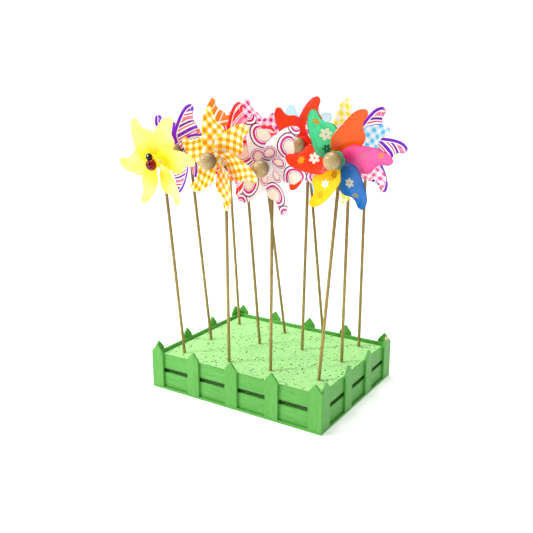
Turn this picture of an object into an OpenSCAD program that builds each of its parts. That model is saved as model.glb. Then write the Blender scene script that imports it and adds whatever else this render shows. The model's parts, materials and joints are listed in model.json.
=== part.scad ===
// Pinwheel display: twelve pinwheels standing in a block of foam inside a picket-fence tray.
// The origin is the centre of the tray's underside. X runs along the tray, -Y is its front, +Z is up.

/* [Tray] */
// Length of the tray, left to right
tray_length = 250; // [246:1:262]
// Width of the tray, front to back
tray_width = 200; // [198:1:210]
// Thickness of the base board, rails and pickets
board = 3; // [2.5:0.25:3.5]
// Width of a picket
picket_width = 18; // [14:1:20]
// Height of the pickets' points
picket_height = 60; // [56:1:66]
// Height of a picket's pointed part
picket_point = 10; // [6:1:12]
// Pickets along the front and the back
long_side_pickets = 5; // [4:1:6]
// Pickets along each end
short_side_pickets = 4; // [3:1:5]
// Height of the lower rail
lower_rail = 20; // [16:1:22]
// Slot between the rails
rail_slot = 5.5; // [4:0.5:7]
// Height of the rails' top edge
rail_top = 47; // [45:1:50]
// Thickness of the foam block
foam_thickness = 40; // [40:0.5:42]

/* [Pinwheel] */
// Length of a stick
stick_length = 300; // [296:1:300]
// Diameter of a stick
stick_d = 4; // [3.5:0.25:4]
// From the top of a stick down to its pin
stick_above_pin = 8; // [6:1:10]
// Radius of a wheel, to its petals' tips
wheel_r = 60; // [56:1:60]
// Thickness of the plastic film
film = 0.4; // [0.3:0.05:0.45]
// Diameter of the pin
pin_d = 1.6; // [1.2:0.1:1.8]
// Radius of the wooden ball on the pin's end
ball_r = 9.8; // [8:0.1:9.8]
// Rows of facets along a petal
petal_rows = 10; // [8:1:12]
// Facets across a petal
petal_columns = 4; // [3:1:5]

/* [Fits] */
// Gap between a stick and its hole in the foam
stick_gap = 0.08; // [0.02:0.01:0.1]
// Gap between a wheel's hub and its pin
pin_gap = 0.08; // [0.02:0.01:0.1]
// Gap between the foam and the rails, and between the pickets at a corner
side_gap = 0.3; // [0.2:0.1:0.6]

/* [Hidden] */
$fn = 48;

// Where each pinwheel stands: its hole's x and y on the foam's top face, its lean
// towards +x and towards +y, the way it faces off straight ahead, how deep it is pushed in, the turn
// of its wheel, and how far its pin nods downwards. Lengths are in mm and angles in degrees.
stands = [
    [-95.5, -69.5, -3, -3, 0, 39.5, -3, 0],
    [-94.5, -12.5, -4.5, -2.25, 0, 29.5, 8, 0],
    [-27.5, -63.5, 2, -3, -5.5, 33, -20, 0],
    [-97.5, 61, -4.5, 1.25, 0, 22, 42, 0],
    [-29, 10.5, -3, -2.75, 0, 29, 22, 0],
    [32, -59, -0.75, 2, 5, 39.5, -15, 8],
    [-22, 66, -5, -4.75, 0, 21.5, 36, 0],
    [31, 22, 0.25, 1.75, 0, 22, 12, 0],
    [33.5, 78, -6, -0.5, 0, 29.5, 42, 0],
    [95.5, -52, 4.5, 0.25, 8.5, 29, 3, 0],
    [93.5, 13.5, 2, -3, 0, 25, 27, 0],
    [89.5, 74.5, -1, 2.5, 0, 31.5, 2, 0]
];
wheels = [for (n = [1 : len(stands)]) n];
ladybird_wheel = 1;

tray_nodes = ["base_board", "foam_block",
    "front_rails", "back_rails", "left_rails", "right_rails",
    "front_pickets", "back_pickets", "left_pickets", "right_pickets"];
wheel_nodes = [for (n = wheels) for (piece = ["stick_", "pin_", "vanes_", "cap_"]) str(piece, n)];

// Colours
apple_green = [0.36, 0.72, 0.33];
foam_green = [0.68, 0.93, 0.56];
birch = [0.80, 0.66, 0.45];
bamboo = [0.66, 0.49, 0.24];
steel = [0.75, 0.75, 0.77];
ladybird_red = [0.75, 0.08, 0.10];
wheel_colours = ["yellow", "purple", "orange", "coral", "crimson", "mistyrose",
    "hotpink", "red", "lightcyan", "limegreen", "khaki", "orchid"];

// Tray heights and the rails' two faces
foam_top = board + foam_thickness;
rail_outside_x = tray_length / 2 - board;
rail_outside_y = tray_width / 2 - board;
rail_inside_x = rail_outside_x - board;
rail_inside_y = rail_outside_y - board;
picket_tip = 1.5;

// Distances forward from a stick's axis along its pin, from the back to the front
pin_head = [-3.4, -2.5];
pin_end = 27;
bead = [2.5, 4.6];
back_disc = [4.9, 5.4];
front_disc = [19.2, 20];
front_washer = [20.3, 20.8];
cap_back = 20.9;
ball_flat = 0.4;
cap_bore_end = pin_end + 0.4;

// Radii round the pin
pin_r = pin_d / 2;
fixed_bore_r = pin_r + 0.03;
hub_bore_r = pin_r + pin_gap;
pin_head_r = 1.9;
bead_r = 2.6;
washer_r = 3;
hub_r = 2;
back_disc_r = 9;
front_disc_r = 10.5;
stick_chamfer = 0.4;
depth_column = 5;
turn_column = 6;
nod_column = 7;

// A petal that points up, seen from the front: the points of its front edge, which curls forward to just
// behind the front disc, and of its rear edge, which starts just in front of the back disc. Each point has
// its place across and along the petal, as shares of the wheel's radius, and its distance forward of the
// stick in mm.
front_edge = [[-0.125, 0.06, 18.9], [-0.205, 0.15, 18.7], [-0.275, 0.27, 17.9], [-0.28, 0.40, 16.9],
    [-0.262, 0.54, 16], [-0.242, 0.67, 15.1], [-0.205, 0.80, 14.4], [-0.15, 0.91, 13.8],
    [-0.08, 0.975, 13.3], [-0.035, 0.995, 13]];
rear_edge = [[0.065, 0.115, 5.7], [0.13, 0.20, 6.3], [0.185, 0.31, 7.2], [0.22, 0.42, 8.1],
    [0.222, 0.52, 9.1], [0.19, 0.61, 10.1], [0.085, 0.70, 11], [0.045, 0.80, 11.7],
    [0.05, 0.92, 12.3], [0, 0.99, 12.8]];
petal_count = 6;
petal_curl = 1.6;

// ---------- Helpers ----------

// A point at share t along a list of points, joined by straight lines
function along(points, t) =
    let (place = t * (len(points) - 1), i = min(floor(place), len(points) - 2), f = place - i)
    points[i] * (1 - f) + points[i + 1] * f;

// A point on a petal's middle surface: t runs from hub to tip, and s from its front to its rear edge
function petal_point(t, s) =
    let (front = along(front_edge, t), rear = along(rear_edge, t))
    [
        (front[0] * (1 - s) + rear[0] * s) * wheel_r,
        -(rear[2] + (front[2] - rear[2]) * pow(1 - s, petal_curl)),
        (front[1] * (1 - s) + rear[1] * s) * wheel_r
    ];

// Moves its children to pinwheel n: the origin on its stick's axis at the foam's top face, Z up the stick
module at_hole(n) {
    s = stands[n - 1];
    translate([s[0], s[1], foam_top])
        rotate([-s[3], s[2], 0])
            rotate([0, 0, s[4]])
                children();
}

// Moves its children to where the pin crosses the stick of pinwheel n, with the stick along Z
module at_crossing(n) {
    stick_out = stick_length - stands[n - 1][depth_column];
    at_hole(n)
        translate([0, 0, stick_out - stick_above_pin])
            children();
}

// Moves its children to the pin of pinwheel n, with the pin pointing along -Y
module at_pin(n) {
    at_crossing(n)
        rotate([stands[n - 1][nod_column], 0, 0])
            children();
}

// A disc or tube round the pin between two distances forward of the stick
module round_pin(span, outer_r, bore_r) {
    rotate([90, 0, 0])
        translate([0, 0, span[0]])
            difference() {
                cylinder(h = span[1] - span[0], r = outer_r);
                translate([0, 0, -1])
                    cylinder(h = span[1] - span[0] + 2, r = bore_r);
            }
}

// ---------- Tray ----------

module base_board() {
    color(apple_green)
        translate([-tray_length / 2, -tray_width / 2, 0])
            cube([tray_length, tray_width, board]);
}

module foam_block() {
    color(foam_green)
        difference() {
            translate([-rail_inside_x + side_gap, -rail_inside_y + side_gap, board])
                cube([2 * (rail_inside_x - side_gap), 2 * (rail_inside_y - side_gap), foam_thickness]);
            for (n = wheels) {
                depth = stands[n - 1][depth_column] + stick_gap;
                at_hole(n)
                    translate([0, 0, -depth])
                        cylinder(h = depth + 1, r = stick_d / 2 + stick_gap);
            }
        }
}

// The lower and upper rail of one side: they stand on the base board along X, with the outside at y = 0
module rail_pair(length) {
    upper_rail_z = board + lower_rail + rail_slot;
    translate([-length / 2, 0, board])
        cube([length, board, lower_rail]);
    translate([-length / 2, 0, upper_rail_z])
        cube([length, board, rail_top - upper_rail_z]);
}

module long_rails(side) {
    color(apple_green)
        translate([0, side * (rail_outside_y - board / 2) - board / 2, 0])
            rail_pair(2 * rail_outside_x);
}

module short_rails(side) {
    color(apple_green)
        translate([side * (rail_outside_x - board / 2), 0, 0])
            rotate([0, 0, 90])
                translate([0, -board / 2, 0])
                    rail_pair(2 * rail_inside_y);
}

// One pointed picket that stands on the base board, centred on x = 0 and y = 0
module picket() {
    half = picket_width / 2;
    shoulder = picket_height - picket_point - board;
    top = picket_height - board;
    translate([0, board / 2, board])
        rotate([90, 0, 0])
            linear_extrude(board)
                polygon([[-half, 0], [half, 0], [half, shoulder], [picket_tip, top],
                    [-picket_tip, top], [-half, shoulder]]);
}

// A row of pickets along X, spaced evenly, with the end ones flush with the ends of the row
module picket_row(length, count) {
    step = (length - picket_width) / (count - 1);
    for (i = [0 : count - 1])
        translate([i * step - (length - picket_width) / 2, 0, 0])
            picket();
}

module long_pickets(side) {
    color(apple_green)
        translate([0, side * (tray_width - board) / 2, 0])
            picket_row(tray_length, long_side_pickets);
}

module short_pickets(side) {
    color(apple_green)
        translate([side * (tray_length - board) / 2, 0, 0])
            rotate([0, 0, 90])
                picket_row(2 * (rail_outside_y - side_gap), short_side_pickets);
}

// ---------- Pinwheel ----------

// A round stick with broken end edges and a cross hole for the pin
module stick(n) {
    r = stick_d / 2;
    color(bamboo)
        difference() {
            at_crossing(n)
                translate([0, 0, stick_above_pin - stick_length]) {
                    cylinder(h = stick_chamfer, r1 = r - stick_chamfer, r2 = r);
                    translate([0, 0, stick_chamfer])
                        cylinder(h = stick_length - 2 * stick_chamfer, r = r);
                    translate([0, 0, stick_length - stick_chamfer])
                        cylinder(h = stick_chamfer, r1 = r, r2 = r - stick_chamfer);
                }
            at_pin(n)
                rotate([90, 0, 0])
                    cylinder(h = 4 * r, r = fixed_bore_r, center = true);
        }
}

// The nail, driven through the stick from behind, with the bead and the washer that space the wheel
module pin(n) {
    color(steel)
        at_pin(n) {
            rotate([90, 0, 0])
                translate([0, 0, pin_head[1]])
                    cylinder(h = pin_end - pin_head[1], r = pin_r);
            rotate([90, 0, 0])
                translate([0, 0, pin_head[0]])
                    cylinder(h = pin_head[1] - pin_head[0], r = pin_head_r);
            round_pin(bead, bead_r, fixed_bore_r);
            round_pin(front_washer, washer_r, fixed_bore_r);
        }
}

// One film petal that points up: a thin sheet between its front edge and its rear edge
module petal() {
    rows = petal_rows;
    columns = petal_columns + 1;
    sheet = rows * columns;
    points = [
        for (face = [film / 2, -film / 2])
            for (i = [0 : rows - 1])
                for (j = [0 : columns - 1])
                    petal_point(i / (rows - 1), j / (columns - 1)) + [0, face, 0]
    ];
    // The rim's points on the rear face, clockwise as seen from the front
    rim = concat(
        [for (i = [0 : rows - 2]) i * columns],
        [for (j = [0 : columns - 2]) (rows - 1) * columns + j],
        [for (i = [rows - 1 : -1 : 1]) i * columns + columns - 1],
        [for (j = [columns - 1 : -1 : 1]) j]
    );
    faces = concat(
        [
            for (i = [0 : rows - 2])
                for (j = [0 : columns - 2])
                    let (a = i * columns + j, b = a + columns)
                    for (face = [[a, a + 1, b + 1], [a, b + 1, b]])
                        face
        ],
        [
            for (i = [0 : rows - 2])
                for (j = [0 : columns - 2])
                    let (a = sheet + i * columns + j, b = a + columns)
                    for (face = [[a, b, b + 1], [a, b + 1, a + 1]])
                        face
        ],
        [
            for (k = [0 : len(rim) - 1])
                let (p = rim[k], q = rim[(k + 1) % len(rim)])
                for (face = [[q + sheet, p + sheet, p], [q + sheet, p, q]])
                    face
        ]
    );
    polyhedron(points = points, faces = faces);
}

// The film wheel: six petals caught between a back disc and a front disc, with a tube between the two
module vanes(n) {
    turn = stands[n - 1][turn_column];
    color(wheel_colours[n - 1])
        at_pin(n) {
            for (k = [0 : petal_count - 1])
                rotate([0, 90 - turn - k * 360 / petal_count, 0])
                    petal();
            rotate([90, 0, 0])
                difference() {
                    union() {
                        translate([0, 0, back_disc[0]])
                            cylinder(h = back_disc[1] - back_disc[0], r = back_disc_r);
                        translate([0, 0, back_disc[0]])
                            cylinder(h = front_disc[1] - back_disc[0], r = hub_r);
                        translate([0, 0, front_disc[0]])
                            cylinder(h = front_disc[1] - front_disc[0], r = front_disc_r);
                    }
                    cylinder(h = pin_end, r = hub_bore_r);
                }
        }
}

// A ball with a flat back, drilled for the pin
module wooden_ball() {
    difference() {
        translate([0, 0, cap_back + ball_r - ball_flat])
            sphere(r = ball_r);
        translate([0, 0, cap_back - ball_r])
            cylinder(h = ball_r, r = 2 * ball_r);
        cylinder(h = cap_bore_end, r = fixed_bore_r);
    }
}

// A flat-backed wooden ladybird: a round body below and a smaller round head above, tilted a little
module ladybird() {
    body_r = 7;
    head_r = 4.4;
    body_drop = 2.6;
    head_rise = 7.2;
    tilt = 12;
    difference() {
        rotate([0, 0, tilt]) {
            translate([0, -body_drop, cap_back + 1])
                sphere(r = body_r);
            translate([0, head_rise, cap_back + 1])
                sphere(r = head_r);
        }
        translate([0, 0, cap_back - 2 * body_r])
            cylinder(h = 2 * body_r, r = 4 * body_r);
        cylinder(h = cap_bore_end, r = fixed_bore_r);
    }
}

module cap(n) {
    color(n == ladybird_wheel ? ladybird_red : birch)
        at_pin(n)
            rotate([90, 0, 0])
                if (n == ladybird_wheel) ladybird();
                else wooden_ball();
}

// ---------- Drawing ----------

base_board();
foam_block();
long_rails(-1);  // front_rails
long_rails(1);  // back_rails
short_rails(-1);  // left_rails
short_rails(1);  // right_rails
long_pickets(-1);  // front_pickets
long_pickets(1);  // back_pickets
short_pickets(-1);  // left_pickets
short_pickets(1);  // right_pickets
for (n = wheels) {
    stick(n);
    pin(n);
    vanes(n);
    cap(n);
}
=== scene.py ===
"""Looks for the pinwheel display: a painted picket tray, flower foam, and twelve film wheels on sticks."""

import json
import math
import random

import bmesh
import bpy
from mathutils import Matrix, Vector, noise

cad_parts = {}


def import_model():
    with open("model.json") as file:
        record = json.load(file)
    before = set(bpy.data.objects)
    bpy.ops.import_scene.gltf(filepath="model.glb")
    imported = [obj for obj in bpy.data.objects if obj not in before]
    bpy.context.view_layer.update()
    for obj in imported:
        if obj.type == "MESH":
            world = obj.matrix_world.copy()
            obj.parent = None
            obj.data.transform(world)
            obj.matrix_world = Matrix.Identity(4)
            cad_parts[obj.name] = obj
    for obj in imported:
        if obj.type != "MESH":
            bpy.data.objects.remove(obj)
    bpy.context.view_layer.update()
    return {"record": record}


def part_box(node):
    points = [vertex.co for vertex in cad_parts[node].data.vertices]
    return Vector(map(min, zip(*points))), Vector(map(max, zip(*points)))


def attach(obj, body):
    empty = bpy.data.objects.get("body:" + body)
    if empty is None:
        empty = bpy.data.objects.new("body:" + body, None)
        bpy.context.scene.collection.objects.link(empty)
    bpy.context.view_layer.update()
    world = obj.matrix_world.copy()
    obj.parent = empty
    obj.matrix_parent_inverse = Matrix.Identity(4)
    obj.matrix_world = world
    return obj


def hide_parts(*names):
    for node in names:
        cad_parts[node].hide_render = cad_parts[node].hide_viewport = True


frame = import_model()
MM = 0.001
JOINTS = {joint["name"]: joint for joint in frame["record"]["behaviour"]["joints"]}
WHEELS = range(1, 13)


def colour(red, green, blue):
    """A colour given as the 0-255 values that a screen shows, as the linear values that shaders use."""
    return tuple((c / 255) ** 2.2 for c in (red, green, blue)) + (1,)


# ---------- Camera, lights and stage ----------


def set_camera():
    """A viewpoint close to the photograph's: off the tray's front right corner, looking down a little."""
    data = bpy.data.cameras.new("camera")
    data.sensor_width = 36
    data.lens = 44.22
    camera = bpy.data.objects.new("camera", data)
    camera.location = (0.4298, -0.6959, 0.3677)
    azimuth = math.radians(32.37)
    elevation = math.radians(14.37)
    camera.rotation_euler = (math.pi / 2 - elevation, 0, azimuth)
    bpy.context.collection.objects.link(camera)
    bpy.context.scene.camera = camera


def add_area_light(name, place, aim, size, power):
    data = bpy.data.lights.new(name, "AREA")
    data.size = size
    data.energy = power
    light = bpy.data.objects.new(name, data)
    light.location = place
    light.rotation_euler = (Vector(aim) - Vector(place)).to_track_quat("-Z", "Y").to_euler()
    bpy.context.collection.objects.link(light)


def set_lights():
    """A soft key light from the front left, and a white room that lights the shadows less than it shows."""
    middle = (0, 0, 0.15)
    add_area_light("key", (-1.3, -1.25, 1.5), middle, 0.4, 33)
    add_area_light("top", (-0.3, 0.2, 1.9), middle, 0.9, 24)
    world = bpy.data.worlds.new("studio")
    world.use_nodes = True
    nodes = world.node_tree.nodes
    background = nodes["Background"]
    background.inputs["Color"].default_value = (1, 1, 1, 1)
    rays = nodes.new("ShaderNodeLightPath")
    strength = nodes.new("ShaderNodeMapRange")
    strength.inputs["To Min"].default_value = 0.4
    strength.inputs["To Max"].default_value = 1.05
    world.node_tree.links.new(rays.outputs["Is Camera Ray"], strength.inputs["Value"])
    world.node_tree.links.new(strength.outputs["Result"], background.inputs["Strength"])
    bpy.context.scene.world = world
    bpy.context.scene.view_settings.view_transform = "Standard"


# ---------- Materials ----------


class Shade:
    """One material's node tree, built with short calls. Lengths in patterns are in millimetres."""

    def __init__(self, name, **constants):
        self.material = bpy.data.materials.new(name)
        self.material.use_nodes = True
        self.tree = self.material.node_tree
        self.surface = self.tree.nodes["Principled BSDF"]
        for socket, value in constants.items():
            self.surface.inputs[socket.replace("_", " ")].default_value = value

    def node(self, kind, inputs=(), **settings):
        made = self.tree.nodes.new(kind)
        for setting, value in settings.items():
            setattr(made, setting, value)
        for place, value in enumerate(inputs):
            self.feed(made.inputs[place], value)
        return made

    def feed(self, socket, value):
        if isinstance(value, bpy.types.NodeSocket):
            self.tree.links.new(value, socket)
        elif value is not None:
            socket.default_value = value

    def math(self, operation, *values):
        return self.node("ShaderNodeMath", values, operation=operation).outputs[0]

    def mix(self, share, first, second):
        made = self.node("ShaderNodeMix", data_type="RGBA")
        self.feed(made.inputs["Factor"], share)
        self.feed(made.inputs[6], first)
        self.feed(made.inputs[7], second)
        return made.outputs[2]

    def place(self, stretch=(1, 1, 1)):
        """The object's own coordinates in millimetres, multiplied by stretch."""
        coordinates = self.node("ShaderNodeTexCoord").outputs["Object"]
        scale = tuple(s / MM for s in stretch)
        return self.node("ShaderNodeVectorMath", (coordinates, scale), operation="MULTIPLY").outputs[0]

    def noise(self, size, detail=3, roughness=0.55, stretch=(1, 1, 1)):
        """Soft noise from 0 to 1 whose blobs are about size mm across."""
        made = self.node("ShaderNodeTexNoise")
        self.feed(made.inputs["Vector"], self.place(stretch))
        made.inputs["Scale"].default_value = 1 / size
        made.inputs["Detail"].default_value = detail
        made.inputs["Roughness"].default_value = roughness
        return made.outputs["Fac"]

    def cells(self, size, where=None, randomness=1.0):
        """A Voronoi pattern whose cells are about size mm across."""
        made = self.node("ShaderNodeTexVoronoi", feature="F1")
        self.feed(made.inputs["Vector"], where or self.place())
        made.inputs["Scale"].default_value = 1 / size
        made.inputs["Randomness"].default_value = randomness
        return made

    def specks(self, size, share, radius):
        """1 inside ragged specks of up to about radius mm, in a share of cells that are size mm across."""
        spots = self.cells(size)
        reach = self.ramp(self.noise(1.7 * size, detail=0), 0.3, 0.7, 0.5 * radius, 1.3 * radius)
        ragged = self.math("MULTIPLY_ADD", self.noise(0.8, detail=2), 0.8, -0.4)
        away = self.math("MULTIPLY_ADD", spots.outputs["Distance"], size, ragged)
        inside = self.math("LESS_THAN", away, reach)
        pick = self.node("ShaderNodeSeparateColor", (spots.outputs["Color"],)).outputs[0]
        return self.math("MULTIPLY", inside, self.math("LESS_THAN", pick, share))

    def ramp(self, value, low, high, start=0.0, end=1.0):
        """Value mapped from low..high to start..end, with soft ends."""
        made = self.node("ShaderNodeMapRange", interpolation_type="SMOOTHSTEP")
        for place, number in enumerate((value, low, high, start, end)):
            self.feed(made.inputs[place], number)
        return made.outputs[0]

    def sheet(self):
        """Across and along a petal, in mm from its wheel's centre, as it lies flat."""
        uv = self.node("ShaderNodeUVMap", uv_map="flat").outputs[0]
        split = self.node("ShaderNodeSeparateXYZ", (uv,))
        across = self.math("MULTIPLY_ADD", split.outputs[0], SHEET, -SHEET / 2)
        along = self.math("MULTIPLY_ADD", split.outputs[1], SHEET, -SHEET / 4)
        return across, along

    def turned(self, across, along, degrees):
        """The two distances measured along axes turned by an angle."""
        c, s = math.cos(math.radians(degrees)), math.sin(math.radians(degrees))
        first = self.math("MULTIPLY_ADD", across, c, self.math("MULTIPLY", along, s))
        second = self.math("MULTIPLY_ADD", across, -s, self.math("MULTIPLY", along, c))
        return first, second

    def within(self, value, low, high):
        """1 where value lies between low and high, else 0."""
        above = self.math("GREATER_THAN", value, low)
        return self.math("MULTIPLY", above, self.math("LESS_THAN", value, high))

    def distance(self, across, along, centre):
        """The distance from a centre on the sheet, with its parts across and along."""
        x = self.math("SUBTRACT", across, centre[0])
        y = self.math("SUBTRACT", along, centre[1])
        squares = self.math("MULTIPLY_ADD", x, x, self.math("MULTIPLY", y, y))
        return self.math("SQRT", squares), x, y

    def flower(self, across, along, centre, radius, spin):
        """1 inside a six-petalled flower with a small open middle, else 0."""
        away, x, y = self.distance(across, along, centre)
        angle = self.math("MULTIPLY_ADD", self.math("ARCTAN2", y, x), 3, spin)
        lobes = self.math("ABSOLUTE", self.math("COSINE", angle))
        edge = self.math("MULTIPLY_ADD", lobes, 0.45 * radius, 0.55 * radius)
        inside = self.math("LESS_THAN", away, edge)
        return self.math("MULTIPLY", inside, self.math("GREATER_THAN", away, 0.16 * radius))

    def edge_distance(self):
        """Distance in mm from a petal's edge, as its mesh stores it."""
        made = self.node("ShaderNodeAttribute", attribute_name="edge")
        return made.outputs["Fac"]

    def finish(self, base, roughness, height=None, depth=0.1):
        """Connects the colour and the roughness, and a bump of depth mm where there is a height."""
        self.feed(self.surface.inputs["Base Color"], base)
        self.feed(self.surface.inputs["Roughness"], roughness)
        if height is not None:
            bump = self.node("ShaderNodeBump")
            bump.inputs["Strength"].default_value = 1.0
            bump.inputs["Distance"].default_value = depth * MM
            self.feed(bump.inputs["Height"], height)
            self.feed(self.surface.inputs["Normal"], bump.outputs[0])
        return self.material


# Side in mm of the square sheet that a petal's flat coordinates are stored in
SHEET = 160
WHITE = colour(250, 248, 246)


def paint(name, along_axis, bare_above=None):
    """Apple-green satin paint, thin enough to show the wood's grain, which runs along one axis."""
    shade = Shade(name, Specular_IOR_Level=0.4)
    stretch = [0.06 if axis == along_axis else 1.0 for axis in range(3)]
    grain = shade.noise(0.7, detail=5, roughness=0.75, stretch=stretch)
    streaks = shade.noise(3.0, detail=3, stretch=[0.5 * s for s in stretch])
    patches = shade.noise(26, detail=2)
    base = shade.mix(shade.ramp(grain, 0.3, 0.75), colour(80, 158, 62), colour(106, 188, 84))
    base = shade.mix(shade.ramp(streaks, 0.45, 0.8, 0, 0.3), base, colour(128, 210, 104))
    base = shade.mix(shade.ramp(patches, 0.35, 0.75, 0, 0.25), base, colour(88, 176, 70))
    if bare_above is not None:
        height = shade.node("ShaderNodeSeparateXYZ", (shade.place(),)).outputs[2]
        ragged = shade.math("MULTIPLY_ADD", shade.noise(2.5), 6, height)
        bare = shade.ramp(ragged, bare_above, bare_above + 1.5)
        base = shade.mix(bare, base, colour(226, 206, 160))
    roughness = shade.ramp(grain, 0.3, 0.7, 0.55, 0.4)
    return shade.finish(base, roughness, grain, depth=0.12)


def foam_material(holes):
    """Pale green flower foam: fine open grain, and specks, pits and short cracks beside the holes, darkened
    with painted shade.
    """
    shade = Shade("flower_foam", Specular_IOR_Level=0.15)
    x, y, z = shade.node("ShaderNodeSeparateXYZ", (shade.place(),)).outputs
    grain = shade.noise(0.9, detail=4, roughness=0.7)
    mottle = shade.noise(9, detail=3)
    base = shade.mix(shade.ramp(grain, 0.3, 0.7), colour(150, 222, 126), colour(190, 248, 166))
    base = shade.mix(shade.ramp(mottle, 0.35, 0.75, 0, 0.4), base, colour(196, 246, 168))
    shaded_pit = shade.specks(5.2, 0.6, 1.1)
    shaded_speck = shade.specks(2.6, 0.5, 0.7)
    # Short cracks run along X beside the holes, at their widest near the hole
    shaded_crack = None
    wander = shade.math("MULTIPLY_ADD", shade.noise(4, detail=2), 3.0, -1.5)
    for place, (hole_x, hole_y) in enumerate(holes):
        reach = 9 + 3 * (place % 4)
        away_x = shade.math("ABSOLUTE", shade.math("SUBTRACT", x, hole_x + 2 - place % 3))
        away_y = shade.math("ABSOLUTE", shade.math("ADD", shade.math("SUBTRACT", y, hole_y), wander))
        width = shade.ramp(away_x, 0, reach, 0.34, 0.0)
        line = shade.math("LESS_THAN", away_y, width)
        shaded_crack = line if shaded_crack is None else shade.math("MAXIMUM", shaded_crack, line)
    # Painted shade: the specks, pits and cracks are small hollows in the bump, and their darker colours stand
    # for the shade inside them
    base = shade.mix(shade.math("MULTIPLY", shaded_crack, 0.75), base, colour(44, 84, 40))
    base = shade.mix(shade.math("MULTIPLY", shaded_speck, 0.75), base, colour(72, 128, 58))
    base = shade.mix(shade.math("MULTIPLY", shaded_pit, 0.96), base, colour(14, 34, 16))
    # Painted shade: darker below the top face, where the foam shows only between the boards
    side = shade.ramp(z, 41.5, 42.7, 1, 0)
    base = shade.mix(shade.math("MULTIPLY", side, 0.88), base, colour(36, 62, 26))
    hollow = shade.math("MAXIMUM", shade.math("MAXIMUM", shaded_pit, shaded_crack), shaded_speck)
    height = shade.math("SUBTRACT", shade.math("MULTIPLY", grain, 0.5), hollow)
    return shade.finish(base, 0.95, height, depth=0.7)


def bamboo_material():
    """Fibres along the stick and darker bands across it, browner from the foam up to the wheels."""
    shade = Shade("bamboo", Specular_IOR_Level=0.35)
    fibre = shade.noise(0.35, detail=4, roughness=0.7, stretch=(1, 1, 0.03))
    bands = shade.noise(14, detail=2, stretch=(0.2, 0.2, 1))
    base = shade.mix(shade.ramp(fibre, 0.3, 0.7), colour(112, 92, 36), colour(208, 186, 106))
    base = shade.mix(shade.ramp(bands, 0.4, 0.7, 0, 0.45), base, colour(150, 124, 60))
    height = shade.node("ShaderNodeSeparateXYZ", (shade.place(),)).outputs[2]
    base = shade.mix(shade.ramp(height, 100, 330, 0, 0.75), base, colour(110, 74, 36))
    roughness = shade.ramp(fibre, 0.3, 0.7, 0.6, 0.45)
    return shade.finish(base, roughness, fibre, depth=0.12)


def ball_material():
    """Turned wood with a dark mottled grain, and painted shade that darkens it towards its back."""
    shade = Shade("ball_wood", Specular_IOR_Level=0.4, Coat_Weight=0.35, Coat_Roughness=0.22)
    fibre = shade.noise(0.7, detail=5, roughness=0.75, stretch=(1, 0.25, 1))
    patches = shade.noise(3.5, detail=3)
    base = shade.mix(shade.ramp(fibre, 0.34, 0.66), colour(142, 108, 56), colour(218, 194, 140))
    base = shade.mix(shade.ramp(patches, 0.45, 0.7, 0, 0.4), base, colour(150, 112, 58))
    rise = shade.node("ShaderNodeAttribute", attribute_name="rise").outputs["Fac"]
    # Painted shade: darker towards the ball's back, round its rim
    base = shade.mix(shade.ramp(rise, 0.35, 0.8, 0.85, 0), base, colour(84, 54, 20))
    return shade.finish(base, shade.ramp(fibre, 0.3, 0.7, 0.4, 0.55), fibre, depth=0.1)


def steel_material():
    """Drawn steel with fine lines."""
    shade = Shade("pin_steel", Metallic=1.0)
    lines = shade.noise(0.25, detail=3, stretch=(1, 0.05, 1))
    base = shade.mix(lines, colour(176, 178, 184), colour(214, 216, 222))
    return shade.finish(base, shade.ramp(lines, 0.3, 0.7, 0.22, 0.38), lines, depth=0.02)


def hub_material():
    """White plastic of the hubs, beads and washers."""
    shade = Shade("hub_plastic", Coat_Weight=0.2)
    waves = shade.noise(1.2, detail=2)
    base = shade.mix(waves, colour(232, 232, 226), colour(246, 246, 242))
    return shade.finish(base, shade.ramp(waves, 0.3, 0.7, 0.32, 0.45), waves, depth=0.03)


def film(name, draw, see_through=0.08, painted_glow=0.1):
    """Thin plastic film. draw returns its printed colour from (shade, across, along). glow sets the strength
    of an emission in the film's own colour, painted light that stands for the room's light coming through the
    film from behind."""
    shade = Shade(
        name,
        Transmission_Weight=see_through,
        IOR=1.4,
        Specular_IOR_Level=0.35,
        Coat_Weight=0.2,
        Coat_Roughness=0.1,
        Subsurface_Weight=0.5,
        Subsurface_Radius=(1, 1, 1),
        Subsurface_Scale=0.002,
    )
    across, along = shade.sheet()
    base = draw(shade, across, along)
    ripple = shade.noise(7, detail=2)
    dust = shade.noise(0.8, detail=2)
    roughness = shade.ramp(dust, 0.3, 0.7, 0.26, 0.32)
    # Painted light: an emission in the printed colour, for the room's light that comes through the film from
    # behind
    shade.feed(shade.surface.inputs["Emission Color"], base)
    shade.surface.inputs["Emission Strength"].default_value = painted_glow
    return shade.finish(base, roughness, ripple, depth=0.5)


def plain(tone, darker, rim, flowers=()):
    """A printed tone with an edge line and small flowers, and painted shade that deepens it towards the hub.
    """

    def draw(shade, across, along):
        clouds = shade.noise(10, detail=2)
        base = shade.mix(shade.ramp(clouds, 0.3, 0.8, 0, 0.35), tone, darker)
        # Painted shade: the tone deepens towards the hub
        base = shade.mix(shade.ramp(along, 6, 24, 0.75, 0), base, darker)
        base = shade.mix(shade.ramp(shade.edge_distance(), 0.5, 1.3, 0.85, 0), base, rim)
        for place, (centre, radius, ink) in enumerate(flowers):
            mask = shade.flower(across, along, centre, radius, 0.7 * place)
            base = shade.mix(mask, base, ink)
        return base

    return draw


def gingham(single, double, period, turn=35.0):
    """Checks: white, one tone where a band of half the period runs, the other where two bands cross."""

    def draw(shade, across, along):
        first, second = shade.turned(across, along, turn)
        bands = []
        for distance in (first, second):
            share = shade.math("FRACT", shade.math("ADD", shade.math("DIVIDE", distance, period), 20.25))
            bands.append(shade.math("LESS_THAN", share, 0.5))
        either = shade.math("MAXIMUM", *bands)
        both = shade.math("MULTIPLY", *bands)
        base = shade.mix(either, WHITE, single)
        return shade.mix(both, base, double)

    return draw


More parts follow.
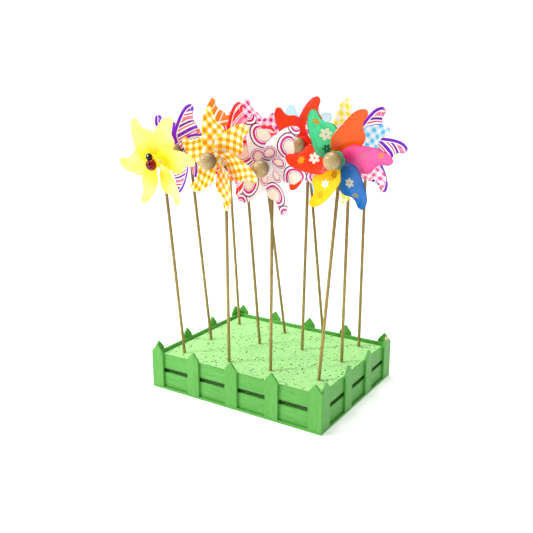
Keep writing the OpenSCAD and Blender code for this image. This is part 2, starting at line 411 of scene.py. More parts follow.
def stripes(order, turn=-50.0, band=None, offset=0.0):
    """Stripes across a turned axis. order is [(width in mm, colour)] and repeats. band edges the front."""

    def draw(shade, across, along):
        first, _ = shade.turned(across, along, turn)
        period = sum(width for width, _ in order)
        share = shade.math("MULTIPLY", shade.math("FRACT", shade.math("DIVIDE", first, period)), period)
        share = shade.math("MODULO", shade.math("ADD", share, period + offset), period)
        base = order[-1][1]
        end = period - order[-1][0]
        for width, ink in reversed(order[:-1]):
            base = shade.mix(shade.math("LESS_THAN", share, end), base, ink)
            end -= width
        if band:
            edge = shade.edge_distance()
            front = shade.math("LESS_THAN", across, -1.0)
            base = shade.mix(shade.math("MULTIPLY", front, shade.math("LESS_THAN", edge, 5.0)), base, WHITE)
            base = shade.mix(shade.math("MULTIPLY", front, shade.math("LESS_THAN", edge, 3.8)), base, band)
            base = shade.mix(shade.math("LESS_THAN", edge, 0.6), base, band)
        return base

    return draw


def rings(places):
    """Rosettes on white: a peach disc in a thin maroon, a broad magenta and a thin maroon ring."""

    def draw(shade, across, along):
        blush = shade.ramp(shade.noise(12, detail=1), 0.45, 0.7, 0, 0.7)
        base = shade.mix(blush, WHITE, colour(254, 226, 206))
        maroon = colour(98, 8, 62)
        for centre, size in places:
            away, _, _ = shade.distance(across, along, centre)
            base = shade.mix(shade.math("LESS_THAN", away, 14.2 * size), base, WHITE)
            base = shade.mix(shade.within(away, 12.9 * size, 14.2 * size), base, maroon)
            base = shade.mix(shade.within(away, 8.8 * size, 11.1 * size), base, colour(186, 8, 108))
            base = shade.mix(shade.within(away, 7.4 * size, 8 * size), base, maroon)
            base = shade.mix(shade.math("LESS_THAN", away, 7.4 * size), base, colour(255, 220, 194))
        return shade.mix(shade.math("LESS_THAN", shade.edge_distance(), 0.5), base, colour(206, 140, 170))

    return draw


def dotted(tone, darker, dot, spacing, radius, rim=None):
    """A tone with scattered round dots, deeper at its edge, and painted shade that deepens it towards the
    hub.
    """

    def draw(shade, across, along):
        clouds = shade.noise(14, detail=2)
        base = shade.mix(shade.ramp(clouds, 0.3, 0.8, 0, 0.6), tone, darker)
        # Painted shade: the tone deepens towards the hub
        base = shade.mix(shade.ramp(along, 8, 44, 1.0, 0), base, darker)
        where = shade.node("ShaderNodeCombineXYZ", (across, along, 0.0)).outputs[0]
        spots = shade.cells(spacing, where=where, randomness=0.8)
        mask = shade.math("LESS_THAN", spots.outputs["Distance"], radius / spacing)
        base = shade.mix(mask, base, dot)
        if rim:
            base = shade.mix(shade.ramp(shade.edge_distance(), 0.6, 1.6, 0.9, 0), base, rim)
        return base

    return draw


PURPLE = colour(96, 10, 176)
CRIMSON = colour(206, 20, 76)
ROSE = colour(246, 106, 142)
STRIPE_MIX = [(4.2, PURPLE), (1.6, WHITE), (1.6, CRIMSON), (1.4, WHITE), (4, ROSE), (1.6, WHITE)]
STRIPE_MIX += [(2.6, colour(84, 10, 148)), (1.5, WHITE), (1.5, CRIMSON), (2.4, WHITE)]
BEIGE = colour(214, 214, 172)
GOLD = colour(176, 136, 24)


def film_sets():
    """The petals' materials of each wheel, in order round the wheel from its first petal."""
    yellow = film(
        "film_yellow",
        dotted(colour(255, 250, 132), colour(255, 214, 10), colour(206, 146, 10), 11, 1.3),
        see_through=0.2,
        painted_glow=0.28,
    )
    purple = film("film_purple", stripes(STRIPE_MIX, band=PURPLE))
    amber = film("film_amber", gingham(colour(255, 198, 30), colour(240, 124, 0), period=8.8), painted_glow=0.05)
    orange = colour(252, 104, 4)
    warm = film("film_warm", stripes([(6, orange), (2.4, WHITE), (7, orange), (1.2, WHITE)], turn=-42))
    red = colour(238, 20, 24)
    hot_order = [(5, red), (1, WHITE), (1.4, ROSE), (0.8, WHITE)]
    hot_order += [(5, ROSE), (0.8, WHITE), (1.2, ROSE), (1, WHITE)]
    hot = film("film_hot", stripes(hot_order, turn=-35, band=red))
    magenta_check = gingham(colour(248, 190, 220), colour(210, 16, 104), period=8.5, turn=40)
    magenta = film("film_magenta", magenta_check)
    # Each rosette's centre across and along in mm, and its size
    ring_places = [((-9, 14), 0.6), ((-9, 62), 1.0), ((6, 36), 1.2)]
    ringed = film("film_rings", rings(ring_places))
    scarlet = film(
        "film_scarlet",
        dotted(colour(252, 48, 12), colour(240, 34, 10), WHITE, 13, 0.9, rim=colour(186, 14, 60)),
    )
    ice_tone = plain(colour(190, 242, 252), colour(140, 222, 244), colour(110, 200, 230))
    ice = film("film_ice", ice_tone, painted_glow=0.15)
    # Name, tone, darker tone, and flowers as (centre across and along in mm, radius, ink)
    flowered = [
        ("pink", colour(255, 66, 146), colour(220, 30, 96), [((-7, 46), 3.5, colour(246, 110, 40)),
            ((-6, 28), 4.5, colour(206, 84, 130))]),
        ("orange", colour(255, 68, 0), colour(232, 44, 0), []),
        ("mint", colour(56, 218, 138), colour(12, 96, 50), [((-3, 47), 4, GOLD),
            ((0, 30), 7, BEIGE), ((-6, 16), 5, colour(12, 84, 44))]),
        ("red", colour(250, 44, 12), colour(214, 24, 12), [((0, 27), 6.5, colour(252, 226, 214)),
            ((-3, 42), 4.5, colour(250, 150, 26))]),
        ("yellow", colour(250, 206, 20), colour(214, 152, 8), [((-2, 30), 5, colour(252, 246, 214)),
            ((-4, 43), 4.5, colour(244, 160, 20)), ((-6, 16), 4.5, colour(186, 120, 10))]),
        ("blue", colour(10, 88, 174), colour(6, 44, 104), [((0, 28), 5.5, colour(176, 176, 150)),
            ((0, 44), 4, colour(120, 118, 66))]),
    ]
    six = [
        film("film_" + name, plain(tone, darker, darker, flowers))
        for name, tone, darker, flowers in flowered
    ]
    sky = film("film_sky", gingham(colour(168, 228, 250), colour(56, 186, 240), period=8.5, turn=12))
    lemon = film("film_lemon", gingham(colour(255, 246, 140), colour(250, 220, 40), period=8.5, turn=12))
    blush = film("film_blush", gingham(colour(250, 190, 214), colour(226, 60, 130), period=8.5, turn=12))
    violet = film("film_violet", stripes(STRIPE_MIX, band=PURPLE, offset=7))
    return {
        1: [yellow] * 6,
        2: [purple] * 6,
        3: [amber] * 6,
        4: [warm] * 6,
        5: [hot] * 6,
        6: [ringed] * 6,
        7: [magenta] * 6,
        8: [scarlet] * 6,
        9: [ice] * 6,
        10: six,
        11: [sky, lemon, blush] * 2,
        12: [violet] * 6,
    }


# ---------- Mesh helpers ----------

# Edges of turned pieces are shaded sharp above this angle
SHARP_ANGLE = math.radians(50)


def add_mesh(name, vertices, faces, materials, smooth=True):
    """A linked object made from points in metres and faces that list them."""
    mesh = bpy.data.meshes.new(name)
    mesh.from_pydata([tuple(v) for v in vertices], [], faces)
    mesh.validate()
    for material in materials:
        mesh.materials.append(material)
    for face in mesh.polygons:
        face.use_smooth = smooth
    piece = bpy.data.objects.new(name, mesh)
    bpy.context.collection.objects.link(piece)
    return piece


def settle(piece, body, slot, *nodes):
    """Puts a finished piece on its body and hides the nodes that it stands for. slot is not used."""
    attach(piece, body)
    for node in nodes:
        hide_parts(node)


def round_edges(piece, width):
    """Rounds the edges between faces that meet at more than 40 degrees."""
    bevel = piece.modifiers.new("round_edges", "BEVEL")
    bevel.width = width
    bevel.segments = 2
    bevel.limit_method = "ANGLE"
    bevel.angle_limit = math.radians(40)


def board(name, outline, thickness, place, material, rounding=0.0005):
    """A flat board: an outline in its own X and Z, of some thickness along Y, put in place by a matrix."""
    count = len(outline)
    vertices = [place @ Vector((x, y, z)) for y in (-thickness / 2, thickness / 2) for x, z in outline]
    faces = [list(range(count)), list(range(2 * count - 1, count - 1, -1))]
    for k in range(count):
        after = (k + 1) % count
        faces.append([after, k, k + count, after + count])
    piece = add_mesh(name, vertices, faces, [material], smooth=False)
    round_edges(piece, rounding)
    return piece


def lathe(name, profile, place, material, segments=40, wobble=0.0, seed=0, ring=False):
    """A profile of (radius, height) points turned round Z, then put in place by a matrix. A ring's profile is
    closed, and another's has a flat face at each end. wobble is the share of the radius that it dips by."""
    phase = random.Random(seed).uniform(0, math.tau)
    vertices = []
    for radius, height in profile:
        for k in range(segments):
            angle = math.tau * k / segments
            reach = radius * (1 - wobble * (0.5 + 0.5 * math.sin(2 * angle + phase + 40 * height)))
            vertices.append(place @ Vector((reach * math.cos(angle), reach * math.sin(angle), height)))
    count = len(profile)
    faces = []
    for i in range(count if ring else count - 1):
        below, above = i * segments, (i + 1) % count * segments
        for k in range(segments):
            after = (k + 1) % segments
            faces.append([below + k, below + after, above + after, above + k])
    if not ring:
        faces.append(list(range(segments - 1, -1, -1)))
        faces.append(list(range((count - 1) * segments, count * segments)))
    piece = add_mesh(name, vertices, faces, [material])
    piece.data.set_sharp_from_angle(angle=SHARP_ANGLE)
    return piece


# ---------- Tray ----------

RAIL_HEIGHT = 20 * MM
RAIL_GAP = 5.5 * MM
PICKETS_LONG_SIDE = 5
PICKETS_SHORT_SIDE = 4
PICKET_WIDTH = 18 * MM
PICKET_SHOULDER = 10 * MM
PICKET_TIP = 1.44 * MM
FOAM_STEP = 2.2 * MM
FOAM_RIM = 0.9 * MM
DRILL_RADIUS = 2.08 * MM
DRILL_BELOW = 0.08 * MM
DRILL_ABOVE = 6 * MM


def add_tray():
    """Base board, eight rails and the pickets, each its own painted board."""
    upright = paint("paint_upright", 2)
    along_x = paint("paint_along_x", 0)
    along_y = paint("paint_along_y", 1)
    chipped = paint("paint_chipped", 2, bare_above=58)
    low, high = (Vector(corner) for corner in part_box("base_board"))
    size = high - low
    middle = (low + high) / 2
    half_x, half_z = size.x / 2, size.z / 2
    outline = [(-half_x, -half_z), (half_x, -half_z), (half_x, half_z), (-half_x, half_z)]
    base = board("base_plate", outline, size.y, Matrix.Translation(middle), along_x, rounding=0.0004)
    settle(base, "tray", "painted_wood", "base_board")
    for side in ("front", "back", "left", "right"):
        lengthwise = side in ("front", "back")
        add_rails(side, along_x if lengthwise else along_y, lengthwise)
        add_pickets(side, upright, chipped, lengthwise)


def side_frame(node, lengthwise):
    """(matrix, length, thickness) of a side's row of boards. The matrix has X along the row, Y through it
    and Z up from the table."""
    low, high = (Vector(corner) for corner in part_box(node))
    middle = (low + high) / 2
    matrix = Matrix.Translation((middle.x, middle.y, 0))
    size = high - low
    if lengthwise:
        return matrix, size.x, size.y
    return matrix @ Matrix.Rotation(math.pi / 2, 4, "Z"), size.y, size.x


def add_rails(side, material, lengthwise):
    """A side's lower and upper rail."""
    node = side + "_rails"
    matrix, length, thickness = side_frame(node, lengthwise)
    bottom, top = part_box(node)[0][2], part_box(node)[1][2]
    lower_top = bottom + RAIL_HEIGHT
    upper_bottom = lower_top + RAIL_GAP
    for name, z0, z1 in (("lower", bottom, lower_top), ("upper", upper_bottom, top)):
        half = length / 2
        outline = [(-half, z0), (half, z0), (half, z1), (-half, z1)]
        rail = board(f"{side}_{name}_rail", outline, thickness, matrix, material)
        settle(rail, "tray", "painted_wood", node)


def add_pickets(side, material, chipped, lengthwise):
    """A side's pointed pickets. The point of the right side's last one has lost its paint."""
    node = side + "_pickets"
    matrix, length, thickness = side_frame(node, lengthwise)
    bottom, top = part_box(node)[0][2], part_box(node)[1][2]
    count = PICKETS_LONG_SIDE if lengthwise else PICKETS_SHORT_SIDE
    half = PICKET_WIDTH / 2
    generator = random.Random(side)
    for k in range(count):
        place = (length - 2 * half) * (k / (count - 1) - 0.5)
        drop = generator.uniform(0, 0.6) * MM
        lean = generator.uniform(-0.4, 0.4) * MM
        shoulder = top - PICKET_SHOULDER - drop
        outline = [(-half, bottom), (half, bottom), (half, shoulder + lean)]
        for step in range(4):
            angle = math.radians(38 + 104 * step / 3)
            x = PICKET_TIP * math.cos(angle)
            z = top - drop - PICKET_TIP + PICKET_TIP * math.sin(angle)
            outline.append((x + lean, z))
        outline.append((-half, shoulder - lean))
        bare = side == "right" and k == count - 1
        where = matrix @ Matrix.Translation((place, 0, 0))
        picket = board(f"{side}_picket_{k + 1}", outline, thickness, where, chipped if bare else material)
        settle(picket, "tray", "painted_wood", node)


def add_foam(wheels):
    """The foam block with a rough top and a true hole for each stick."""
    low, high = (Vector(corner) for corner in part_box("foam_block"))
    columns = round((high.x - low.x) / FOAM_STEP)
    rows = round((high.y - low.y) / FOAM_STEP)
    vertices = []
    for i in range(columns + 1):
        for j in range(rows + 1):
            x = low.x + (high.x - low.x) * i / columns
            y = low.y + (high.y - low.y) * j / rows
            rough = noise.noise(Vector((x, y, 0)) / (6 * MM)) + noise.noise(Vector((x, y, 9)) / (2.5 * MM))
            rim = i in (0, columns) or j in (0, rows)
            dip = FOAM_RIM if rim else (0.22 + 0.16 * rough) * MM
            vertices.append((x, y, high.z - max(dip, 0.02 * MM)))
    faces = []
    for i in range(columns):
        for j in range(rows):
            a = i * (rows + 1) + j
            faces.append([a, a + rows + 1, a + rows + 2, a + 1])
    # The top's outline, followed round so that the sides and the underside can hang from it
    edge = [i * (rows + 1) for i in range(columns + 1)]
    edge += [columns * (rows + 1) + j for j in range(1, rows + 1)]
    edge += [i * (rows + 1) + rows for i in range(columns - 1, -1, -1)]
    edge += list(range(rows - 1, 0, -1))
    under = []
    for index in edge:
        under.append(len(vertices))
        vertices.append((vertices[index][0], vertices[index][1], low.z))
    for k in range(len(edge)):
        after = (k + 1) % len(edge)
        faces.append([edge[after], edge[k], under[k], under[after]])
    faces.append(list(reversed(under)))
    holes = [(wheel.hole.x / MM, wheel.hole.y / MM) for wheel in wheels]
    foam = add_mesh("foam", vertices, faces, [foam_material(holes)])
    drills = []
    for wheel in wheels:
        place = Matrix.Translation(wheel.hole) @ wheel.stick.to_track_quat("Z", "Y").to_matrix().to_4x4()
        profile = [(DRILL_RADIUS, -wheel.depth - DRILL_BELOW), (DRILL_RADIUS, DRILL_ABOVE)]
        drills.append(lathe("drill", profile, place, None, segments=20))
    cut_holes(foam, drills)
    for face in foam.data.polygons:
        face.use_smooth = abs(face.normal.z) > 0.5
    settle(foam, "tray", "flower_foam", "foam_block")


def cut_holes(piece, cutters):
    """Subtracts the cutters from a piece, one by one, and removes them."""
    for cutter in cutters:
        cut = piece.modifiers.new("hole", "BOOLEAN")
        cut.object = cutter
        cut.operation = "DIFFERENCE"
        cut.solver = "EXACT"
    evaluated = piece.evaluated_get(bpy.context.evaluated_depsgraph_get())
    mesh = bpy.data.meshes.new_from_object(evaluated)
    piece.modifiers.clear()
    piece.data = mesh
    for cutter in cutters:
        bpy.data.objects.remove(cutter)


# ---------- Pinwheels ----------

STICK_LENGTH = 300 * MM
STICK_ABOVE_PIN = 8 * MM
LADYBIRD_WHEEL = 1
# How far each wheel is turned about its pin at rest, in degrees, as in the part
TURNS = [-3, 8, -20, 42, 22, -15, 36, 12, 42, 3, 27, 2]

# Lengths in mm in a pin's own axes: X across, Y up and Z forward from the stick's middle
WHEEL_RADIUS = 60.0
FILM = 0.3
# Inner radius, outer radius, start and end of each ring round the pin
BEAD = (0.83, 2.6, 2.5, 4.6)
WASHER = (0.83, 3.0, 20.3, 20.8)
HUB = (0.88, 2.0, 5.46, 19.4)
# The lobed discs: each one's distance forward and radius, then their bore and the offsets of their faces
FRONT_EARS = (19.6, 10.4)
BACK_EARS = (5.15, 8.9)
EARS_BORE = 0.9
EARS_FACES = (0.3, -0.1)
CAP_BACK = 20.9
PETAL_ROWS = 46
PETAL_COLUMNS = 14
PETAL_CURL = 1.6

# A petal that points up, seen from the front, as in the part: the points of its front edge and of its rear
# edge, each with its place across and along as shares of the wheel's radius, and its distance forward in mm
FRONT_EDGE = [(-0.125, 0.06, 18.9), (-0.205, 0.15, 18.7), (-0.275, 0.27, 17.9), (-0.28, 0.40, 16.9)]
FRONT_EDGE += [(-0.262, 0.54, 16), (-0.242, 0.67, 15.1), (-0.205, 0.80, 14.4), (-0.15, 0.91, 13.8)]
FRONT_EDGE += [(-0.08, 0.975, 13.3), (-0.035, 0.995, 13)]
REAR_EDGE = [(0.065, 0.115, 5.7), (0.13, 0.20, 6.3), (0.185, 0.31, 7.2), (0.22, 0.42, 8.1)]
REAR_EDGE += [(0.222, 0.52, 9.1), (0.19, 0.61, 10.1), (0.085, 0.70, 11), (0.045, 0.80, 11.7)]
REAR_EDGE += [(0.05, 0.92, 12.3), (0, 0.99, 12.8)]


class Pinwheel:
    """Where one pinwheel stands, worked out from its joints."""

    def __init__(self, number):
        self.number = number
        self.stick = Vector(JOINTS[f"pull_out_{number}"]["axis"])
        self.depth = JOINTS[f"pull_out_{number}"]["range_m"][1]
        self.front = Vector(JOINTS[f"spin_{number}"]["axis"])
        self.pin = Vector(JOINTS[f"spin_{number}"]["pos_m"])
        self.hole = self.pin - self.stick * (STICK_LENGTH - STICK_ABOVE_PIN - self.depth)
        self.body = f"pinwheel_{number}"
        self.wheel_body = f"wheel_{number}"
        across = self.stick.cross(self.front).normalized()
        up = self.front.cross(across)
        # The pin's own axes: X across, Y up and Z forward
        self.matrix = Matrix.Translation(self.pin) @ Matrix((across, up, self.front)).transposed().to_4x4()


def smooth_point(points, share):
    """A point at share 0..1 along a smooth curve through the points."""
    place = share * (len(points) - 1)
    i = min(int(place), len(points) - 2)
    f = place - i
    before, start = points[max(i - 1, 0)], points[i]
    end, after = points[i + 1], points[min(i + 2, len(points) - 1)]
    result = []
    for a, b, c, d in zip(before, start, end, after):
        slope_b, slope_c = (c - a) / 2, (d - b) / 2
        cube, square = f**3, f**2
        first = (2 * cube - 3 * square + 1) * b + (cube - 2 * square + f) * slope_b
        result.append(first + (3 * square - 2 * cube) * c + (cube - square) * slope_c)
    return result


def petal_grid(bend, crease):
    """Points of a petal that points up, in mm: rows from hub to tip, columns from front to rear edge. bend
    lifts its tip, and crease raises a soft fold along it."""
    grid = []
    for i in range(PETAL_ROWS):
        along = i / (PETAL_ROWS - 1)
        front = smooth_point(FRONT_EDGE, along)
        rear = smooth_point(REAR_EDGE, along)
        row = []
        for j in range(PETAL_COLUMNS):
            s = j / (PETAL_COLUMNS - 1)
            x = (front[0] * (1 - s) + rear[0] * s) * WHEEL_RADIUS
            y = (front[1] * (1 - s) + rear[1] * s) * WHEEL_RADIUS
            forward = rear[2] + (front[2] - rear[2]) * (1 - s) ** PETAL_CURL
            bowl = math.sin(math.pi * s) * math.sin(math.pi * min(along * 1.1, 1))
            fold = max(0.0, 1 - abs(s - 0.42 - 0.2 * along) / 0.14) * math.sin(math.pi * along)
            lift = bend * along**2 - 0.8 * bowl + crease * fold
            row.append(Vector((x, y, forward + lift)))
        grid.append(row)
    return grid


def add_petals(wheel, materials):
    """The wheel's six film petals. Petals of one material are one piece."""
    generator = random.Random(wheel.number)
    turn = TURNS[wheel.number - 1]
    groups = {}
    for k, material in enumerate(materials):
        groups.setdefault(material.name, []).append(k)
    for name, petals in groups.items():
        vertices, faces, flat, edges = [], [], [], []
        for k in petals:
            grid = petal_grid(generator.uniform(-0.5, 0.3), generator.uniform(0.1, 0.5))
            round_hub = Matrix.Rotation(math.radians(turn + 60 * k - 90), 4, "Z")
            lay_petal(grid, round_hub, vertices, faces, flat, edges)
        place = wheel.matrix @ Matrix.Scale(MM, 4)
        label = name.split("_")[1] if len(groups) > 1 else "film"
        piece = add_mesh(
            f"petals_{wheel.number}_{label}",
            [place @ v for v in vertices],
            faces,
            [bpy.data.materials[name]],
        )
        write_sheet(piece, flat, edges)
        settle(piece, wheel.wheel_body, f"film_{wheel.number}", f"vanes_{wheel.number}")


def lay_petal(grid, turn, vertices, faces, flat, edges):
    """Adds a petal as a closed thin shell, with its flat coordinates and its distance from the edge."""
    first = len(vertices)
    rows, columns = len(grid), len(grid[0])
    middle = columns // 2
    along = grid[0][middle].xy.length
    flat_rows = []
    for i, row in enumerate(grid):
        if i:
            along += (row[middle] - grid[i - 1][middle]).length
        across = [0.0]
        for j in range(1, columns):
            across.append(across[-1] + (row[j] - row[j - 1]).length)
        shift = across[middle] - row[middle].x
        flat_rows.append([(a - shift, along) for a in across])
    for face in (FILM / 2, -FILM / 2):
        for i, row in enumerate(grid):
            for j, point in enumerate(row):
                vertices.append(turn @ (point + Vector((0, 0, face))))
                flat.append(flat_rows[i][j])
                width = flat_rows[i][-1][0] - flat_rows[i][0][0]
                s = j / (columns - 1)
                side = min(s, 1 - s) * width
                ends = (flat_rows[-1][0][1] - flat_rows[i][0][1]) + (0 if i == rows - 1 else 0.3)
                edges.append(min(side, ends))
    half = rows * columns
    for i in range(rows - 1):
        for j in range(columns - 1):
            a = first + i * columns + j
            b = a + columns
            faces.append([a, a + 1, b + 1, b])
            faces.append([half + a, half + b, half + b + 1, half + a + 1])
    rim = [first + i * columns for i in range(rows - 1)]
    rim += [first + (rows - 1) * columns + j for j in range(columns - 1)]
    rim += [first + i * columns + columns - 1 for i in range(rows - 1, 0, -1)]
    rim += [first + j for j in range(columns - 1, 0, -1)]
    for k, index in enumerate(rim):
        after = rim[(k + 1) % len(rim)]
        faces.append([index, after, after + half, index + half])


def write_sheet(piece, flat, edges):
    """Stores the flat coordinates as a UV map, and the distance from the edge as an attribute."""
    mesh = piece.data
    uv = mesh.uv_layers.new(name="flat")
    for loop in mesh.loops:
        across, along = flat[loop.vertex_index]
        uv.data[loop.index].uv = (across / SHEET + 0.5, along / SHEET + 0.25)
    attribute = mesh.attributes.new("edge", "FLOAT", "POINT")
    for index, value in enumerate(edges):
        attribute.data[index].value = value
    bm = bmesh.new()
    bm.from_mesh(mesh)
    bmesh.ops.recalc_face_normals(bm, faces=bm.faces)
    bm.to_mesh(mesh)
    bm.free()


def add_ears(wheel, materials):
    """The petals' corners, gathered on the pin at the front and the back of the hub as lobed discs."""
    for name, (forward, reach), material in (
        ("front", FRONT_EARS, materials[2]),
        ("back", BACK_EARS, materials[0]),
    ):
        vertices, faces, flat = [], [], []
        segments, circles = 72, 8
        phase = math.radians(TURNS[wheel.number - 1])
        for face in EARS_FACES:
            for i in range(circles + 1):
                radius = EARS_BORE + (reach - EARS_BORE) * i / circles
                for k in range(segments):
                    angle = math.tau * k / segments
                    lobe = 1 - 0.1 * (i / circles) * (0.5 - 0.5 * math.cos(6 * (angle - phase)))
                    x, y = radius * lobe * math.cos(angle), radius * lobe * math.sin(angle)
                    wave = 0.07 * math.sin(6 * (angle - phase)) * i / circles
                    vertices.append(Vector((x, y, forward + face + wave)))
                    # For the plain and dotted films these flat coordinates lie near the hub, so the ears take
                    # the painted shade that those films have there
                    flat.append((x, y + 12))
        half = (circles + 1) * segments
        for i in range(circles):
            for k in range(segments):
                a, b = i * segments + k, i * segments + (k + 1) % segments
                c, d = a + segments, b + segments
                faces.append([a, c, d, b])
                faces.append([half + a, half + b, half + d, half + c])
        for i in (0, circles):
            for k in range(segments):
                a, b = i * segments + k, i * segments + (k + 1) % segments
                faces.append([a, b, half + b, half + a])
        place = wheel.matrix @ Matrix.Scale(MM, 4)
        piece = add_mesh(f"ears_{wheel.number}_{name}", [place @ v for v in vertices], faces, [material])
        write_sheet(piece, flat, [9.0] * len(vertices))
        settle(piece, wheel.wheel_body, f"film_{wheel.number}")


def ring_profile(inner, outer, start, end):
    """The profile of a tube with slightly rounded edges, in metres from numbers in mm."""
    soft = 0.15 * min(outer - inner, end - start)
    points = [(inner, start), (outer - soft, start), (outer, start + soft), (outer, end - soft)]
    points += [(outer - soft, end), (inner, end)]
    return [(radius * MM, height * MM) for radius, height in points]


def add_pin(wheel, steel, plastic):
    """The nail through the stick, its bead and its washer, and the wheel's hub."""
    shank = [(1.0, -3.4), (1.75, -3.25), (1.9, -3.0), (1.85, -2.6), (0.8, -2.5), (0.8, 26.6), (0.35, 27)]
    profile = [(radius * MM, height * MM) for radius, height in shank]
    n = wheel.number
    nail = lathe(f"nail_{n}", profile, wheel.matrix, steel, segments=24)
    settle(nail, wheel.body, "pin_steel", f"pin_{n}")
    for label, sizes, body, slot in (
        ("bead", BEAD, wheel.body, "pin_steel"),
        ("washer", WASHER, wheel.body, "pin_steel"),
        ("hub", HUB, wheel.wheel_body, f"film_{n}"),
    ):
        piece = lathe(f"{label}_{n}", ring_profile(*sizes), wheel.matrix, plastic, segments=32, ring=True)
        settle(piece, body, slot)


def add_stick(wheel, material):
    """A bamboo dowel with broken ends and a faintly uneven surface."""
    radius = 2 * MM
    chamfer = 0.4 * MM
    rings_along = 30
    profile = [(radius - chamfer, 0)]
    for k in range(rings_along + 1):
        profile.append((radius, chamfer + (STICK_LENGTH - 2 * chamfer) * k / rings_along))
    profile.append((radius - chamfer, STICK_LENGTH))
    foot = wheel.hole - wheel.stick * wheel.depth
    place = Matrix.Translation(foot) @ wheel.stick.to_track_quat("Z", "Y").to_matrix().to_4x4()
    number = wheel.number
    stick = lathe(f"dowel_{number}", profile, place, material, segments=20, wobble=0.03, seed=number)
    settle(stick, wheel.body, "bamboo", f"stick_{number}")


def add_ball(wheel, material):
    """A turned wooden ball with a flat back and a faint flat at its front."""
    radius = 9.8
    flat = 0.4
    centre = CAP_BACK + radius - flat
    steps = 30
    segments = 48
    start = math.asin((radius - flat) / radius)
    profile = []
    for k in range(steps):
        angle = -start + (start + math.pi / 2 * 0.94) * k / (steps - 1)
        profile.append((radius * math.cos(angle) * MM, (centre + radius * math.sin(angle)) * MM))
    number = wheel.number
    ball = lathe(f"ball_{number}", profile, wheel.matrix, material, segments)
    # rise runs from the ball's back to its front, and sets where its painted shade falls
    rise = ball.data.attributes.new("rise", "FLOAT", "POINT")
    for index in range(len(ball.data.vertices)):
        rise.data[index].value = (index // segments) / (steps - 1)
    settle(ball, wheel.body, "ball_wood", f"cap_{number}")


def gloss(name, tone, speckle, spots):
    """Gloss paint with a fine orange-peel surface and round spots, each ((x, y, z) in mm, radius)."""
    shade = Shade(name, Coat_Weight=0.1, Coat_Roughness=0.06, Specular_IOR_Level=0.3)
    clouds = shade.noise(4, detail=2)
    base = shade.mix(clouds, tone, tuple(0.75 * c for c in tone[:3]) + (1,))
    where = shade.place()
    for centre, radius in spots:
        away = shade.node("ShaderNodeVectorMath", (where, centre), operation="DISTANCE").outputs["Value"]
        base = shade.mix(shade.math("LESS_THAN", away, radius), base, speckle)
    peel = shade.noise(0.8, detail=2)
    return shade.finish(base, shade.ramp(peel, 0.3, 0.7, 0.22, 0.32), peel, depth=0.03)


def dome(name, radius, centre, wheel, material, flat_at):
    """A round bead that is cut flat at the back, about Z through centre, in mm in the wheel's own axes."""
    start = math.asin(max(-1.0, (flat_at - centre[2]) / radius))
    steps = 24
    profile = []
    for k in range(steps):
        angle = start + (math.pi / 2 - 0.04 - start) * k / (steps - 1)
        profile.append((radius * math.cos(angle) * MM, radius * math.sin(angle) * MM))
    place = wheel.matrix @ Matrix.Translation(Vector(centre) * MM)
    return lathe(name, profile, place, material)


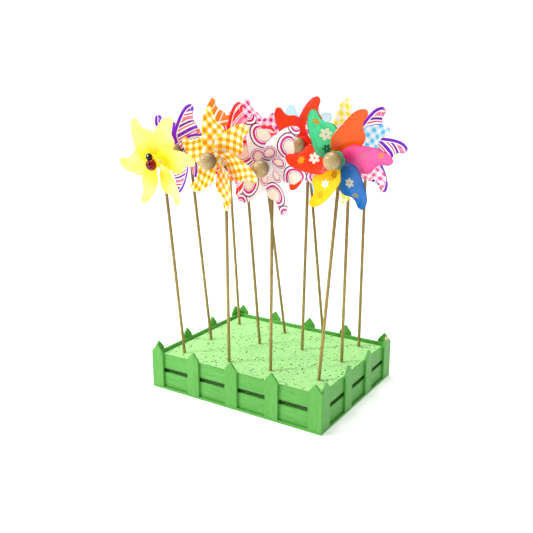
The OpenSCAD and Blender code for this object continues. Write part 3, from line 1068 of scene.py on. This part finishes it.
def add_ladybird(wheel):
    """The ladybird: a red body with black spots, and a black head with two white eyes."""
    tilt = Matrix.Rotation(math.radians(12), 4, "Z")
    body_radius = 7
    head_radius = 4.4
    body_up = -2.6
    body_centre = tilt @ Vector((0, body_up, CAP_BACK + 1))
    head_centre = tilt @ Vector((0, 7.2, CAP_BACK + 1))
    black = colour(14, 12, 14)

    def world(point):
        """A point of the wheel's own axes in the scene, both in mm."""
        return tuple((wheel.matrix @ (point * MM)) / MM)

    marks = []
    spots = [(-3.6, -1.4, 1.5), (3.6, -1.4, 1.5), (-3.2, -5.4, 1.3), (3.2, -5.4, 1.3), (0, 1.6, 1.5)]
    for x, y, size in spots:
        offset = Vector((x, y - body_up, 0))
        offset.z = math.sqrt(max(body_radius**2 - offset.x**2 - offset.y**2, 1))
        marks.append((world(body_centre + tilt @ offset), size))
    # The line between the wing cases is a row of small dots
    for step in range(12):
        angle = math.radians(-25 - 12 * step)
        line = Vector((0, body_radius * math.cos(angle + math.pi), -body_radius * math.sin(angle)))
        marks.append((world(body_centre + tilt @ line), 0.55))
    eyes = []
    for x in (-1.7, 1.7):
        offset = Vector((x, 1.4, 0))
        offset.z = math.sqrt(head_radius**2 - offset.x**2 - offset.y**2)
        eyes.append((world(head_centre + tilt @ offset), 0.8))
    red = gloss("ladybird_red", colour(146, 2, 8), black, marks)
    dark = gloss("ladybird_black", black, colour(246, 244, 240), eyes)
    number = wheel.number
    body = dome(f"ladybird_body_{number}", body_radius, body_centre, wheel, red, CAP_BACK)
    settle(body, wheel.body, "ladybird_paint", f"cap_{number}")
    head = dome(f"ladybird_head_{number}", head_radius, head_centre, wheel, dark, CAP_BACK)
    settle(head, wheel.body, "ladybird_paint")


def add_floor():
    """A white floor, just below the tray, that glows more further out, where it meets the white room."""
    shade = Shade("floor_white", Specular_IOR_Level=0.0)
    cloud = shade.noise(300, detail=1)
    shade.finish(shade.mix(cloud, (0.96, 0.96, 0.96, 1), (0.985, 0.985, 0.985, 1)), 0.9)
    shade.surface.inputs["Emission Color"].default_value = (1, 1, 1, 1)
    away = shade.node("ShaderNodeVectorMath", (shade.place(),), operation="LENGTH").outputs["Value"]
    shade.feed(shade.surface.inputs["Emission Strength"], shade.ramp(away, 300, 1200, 0.38, 0.75))
    reach = 3.0
    corners = [(-reach, -reach, 0), (reach, -reach, 0), (reach, reach, 0), (-reach, reach, 0)]
    floor = add_mesh("floor", corners, [[0, 1, 2, 3]], [shade.material], smooth=False)
    floor.location.z = -0.0002


def build():
    set_camera()
    set_lights()
    add_floor()
    add_tray()
    wheels = [Pinwheel(number) for number in WHEELS]
    add_foam(wheels)
    sets = film_sets()
    bamboo = bamboo_material()
    birch = ball_material()
    steel = steel_material()
    plastic = hub_material()
    for wheel in wheels:
        materials = sets[wheel.number]
        add_stick(wheel, bamboo)
        add_pin(wheel, steel, plastic)
        add_petals(wheel, materials)
        add_ears(wheel, materials)
        if wheel.number == LADYBIRD_WHEEL:
            add_ladybird(wheel)
        else:
            add_ball(wheel, birch)


build()

bpy.context.view_layer.update()
